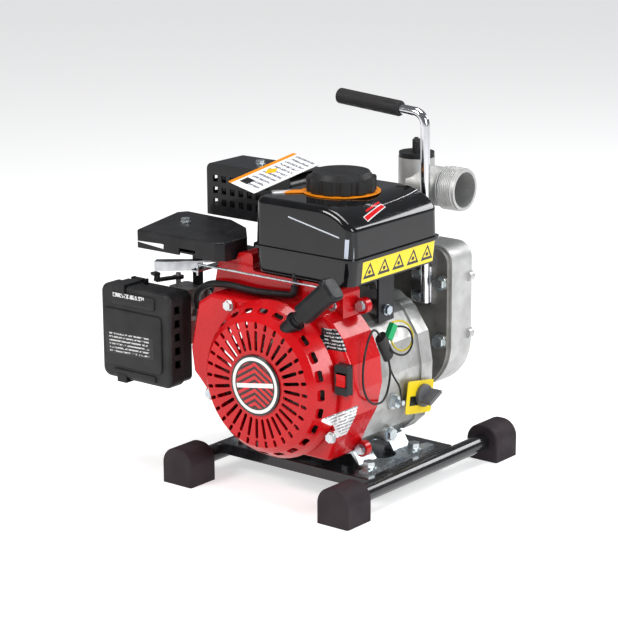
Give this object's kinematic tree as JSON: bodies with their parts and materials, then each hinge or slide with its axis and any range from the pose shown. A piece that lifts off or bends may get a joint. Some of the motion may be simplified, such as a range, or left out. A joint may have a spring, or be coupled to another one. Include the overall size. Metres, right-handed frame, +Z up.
{
  "type": "portable fire pump",
  "caption": "Petrol engine water pump on a tubular base with rubber feet: recoil starter, fuel tank, air cleaner, muffler, cast pump casing with threaded ports and a carrying handle.",
  "frame": {"origin": "on the ground at the middle of the overall length and width", "axes": "+Y along the crankshaft from the recoil starter to the pump, +X towards the discharge port, +Z up"},
  "size_m": [0.388, 0.3268, 0.4275],
  "materials": {
    "black_paint": "gloss",
    "tank_black": "gloss",
    "foot_rubber": "matte",
    "zinc": "satin",
    "cast_aluminium": "cast",
    "dark_aluminium": "cast",
    "red_paint": "gloss",
    "black_plastic": "matte",
    "grey_plastic": "matte",
    "red_plastic": "gloss",
    "steel": "satin",
    "cast_iron": "cast",
    "chrome": "polished",
    "label": "printed",
    "foam": "foam",
    "rubber": "matte",
    "rope": "braided"
  },
  "bodies": {
    "frame": {"rail_left": "black_paint", "rail_right": "black_paint", "foot_front_left": "foot_rubber", "foot_front_right": "foot_rubber", "foot_rear_left": "foot_rubber", "foot_rear_right": "foot_rubber", "cross_channel": "black_paint", "engine_bracket": "zinc", "crankcase": "cast_aluminium", "side_cover": "cast_aluminium", "cylinder": "cast_aluminium", "cylinder_head": "cast_aluminium", "valve_cover": "steel", "spark_plug": "steel", "fan_cover": "red_paint", "recoil_cover": "red_paint", "badge": "label", "rope_collar": "black_plastic", "switch_base": "black_plastic", "oil_tag": "label", "oil_sensor": "steel", "air_cleaner_cover": "black_plastic", "air_filter": "foam", "air_cleaner_base": "black_plastic", "carburettor": "cast_aluminium", "intake_elbow": "black_plastic", "control_bracket": "zinc", "control_cover": "black_plastic", "fuel_tank": "tank_black", "tank_bracket": "black_paint", "muffler": "black_paint", "muffler_guard": "black_paint", "pump_bracket": "dark_aluminium", "pump_casing": "cast_aluminium", "shaft_seal": "rubber", "handle_rod": "chrome", "handle_grip": "black_plastic", "flange_bolts_m6": "steel", "flange_bolts_m8": "steel", "fuel_hose": "rubber", "switch_wire": "rubber", "sensor_lead": "rubber", "hang_card": "label"},
    "crank": {"crankshaft": "steel", "flywheel": "cast_iron", "impeller": "dark_aluminium"},
    "piston_body": {"piston": "cast_aluminium"},
    "pulley": {"rope_pulley": "black_plastic"},
    "pull": {"starter_rope": "rope", "starter_grip": "black_plastic"},
    "rocker": {"switch_rocker": "red_plastic"},
    "oil_filler": {"dipstick": "grey_plastic"},
    "clip_top": {"top_clip": "black_plastic"},
    "clip_bottom": {"bottom_clip": "black_plastic"},
    "choke": {"choke_lever": "black_plastic"},
    "throttle": {"throttle_lever": "zinc"},
    "rod": {"governor_rod": "zinc"},
    "arm": {"governor_arm": "zinc"},
    "cap": {"fuel_cap": "black_plastic"},
    "priming": {"priming_cap": "black_plastic"}
  },
  "joints": [
    {"name": "crank_spin", "type": "hinge", "parent": "frame", "child": "crank", "pos_m": [0.057, 0, 0.135], "axis": [0, 1, 0], "continuous": true},
    {"name": "piston_slide", "type": "slide", "parent": "frame", "child": "piston_body", "axis": [-0.7071, 0, 0.7071], "range_m": [-0.0345, 0.0065]},
    {"name": "grip_pull", "type": "slide", "parent": "frame", "child": "pull", "axis": [0.7547, 0, 0.6561], "range_m": [0, 0.06], "stiffness_N_per_m": 20},
    {"name": "pulley_turn", "type": "hinge", "parent": "frame", "child": "pulley", "pos_m": [0.057, -0.138, 0.135], "axis": [0, 1, 0], "range_deg": [0, 123]},
    {"name": "switch_rock", "type": "hinge", "parent": "frame", "child": "rocker", "pos_m": [0.1568, -0.125, 0.153], "axis": [1, 0, 0], "range_deg": [-10, 10]},
    {"name": "dipstick_turn", "type": "hinge", "parent": "frame", "child": "oil_filler", "pos_m": [0.151, 0.03, 0.098], "axis": [1, 0, 0], "range_deg": [0, 360]},
    {"name": "top_clip_swing", "type": "hinge", "parent": "frame", "child": "clip_top", "pos_m": [-0.161, -0.098, 0.2104], "axis": [1, 0, 0], "range_deg": [-60, 0]},
    {"name": "bottom_clip_swing", "type": "hinge", "parent": "frame", "child": "clip_bottom", "pos_m": [-0.161, -0.098, 0.0956], "axis": [1, 0, 0], "range_deg": [0, 60]},
    {"name": "choke_turn", "type": "hinge", "parent": "frame", "child": "choke", "pos_m": [-0.119, -0.078, 0.216], "axis": [0, 0, 1], "range_deg": [0, 45]},
    {"name": "throttle_turn", "type": "hinge", "parent": "frame", "child": "throttle", "pos_m": [-0.061, -0.052, 0.239], "axis": [0, 0, 1], "range_deg": [-6, 6]},
    {"name": "rod_slide", "type": "slide", "parent": "frame", "child": "rod", "axis": [1, 0, 0], "range_m": [-0.0063, 0.0063]},
    {"name": "arm_turn", "type": "hinge", "parent": "frame", "child": "arm", "pos_m": [0.125, -0.1025, 0.226], "axis": [0, 1, 0], "range_deg": [-18, 18]},
    {"name": "fuel_cap_turn", "type": "hinge", "parent": "frame", "child": "cap", "pos_m": [0.076, -0.022, 0.34], "axis": [0, 0, 1], "range_deg": [0, 90]},
    {"name": "priming_cap_turn", "type": "hinge", "parent": "frame", "child": "priming", "pos_m": [0.081, 0.113, 0.352], "axis": [0, 0, 1], "range_deg": [0, 360]}
  ],
  "couplings": [
    {"joint": "pulley_turn", "follows": "grip_pull", "rad_per_m": 35.587},
    {"joint": "rod_slide", "follows": "throttle_turn", "m_per_rad": 0.058},
    {"joint": "arm_turn", "follows": "throttle_turn", "ratio": 2.9}
  ]
}
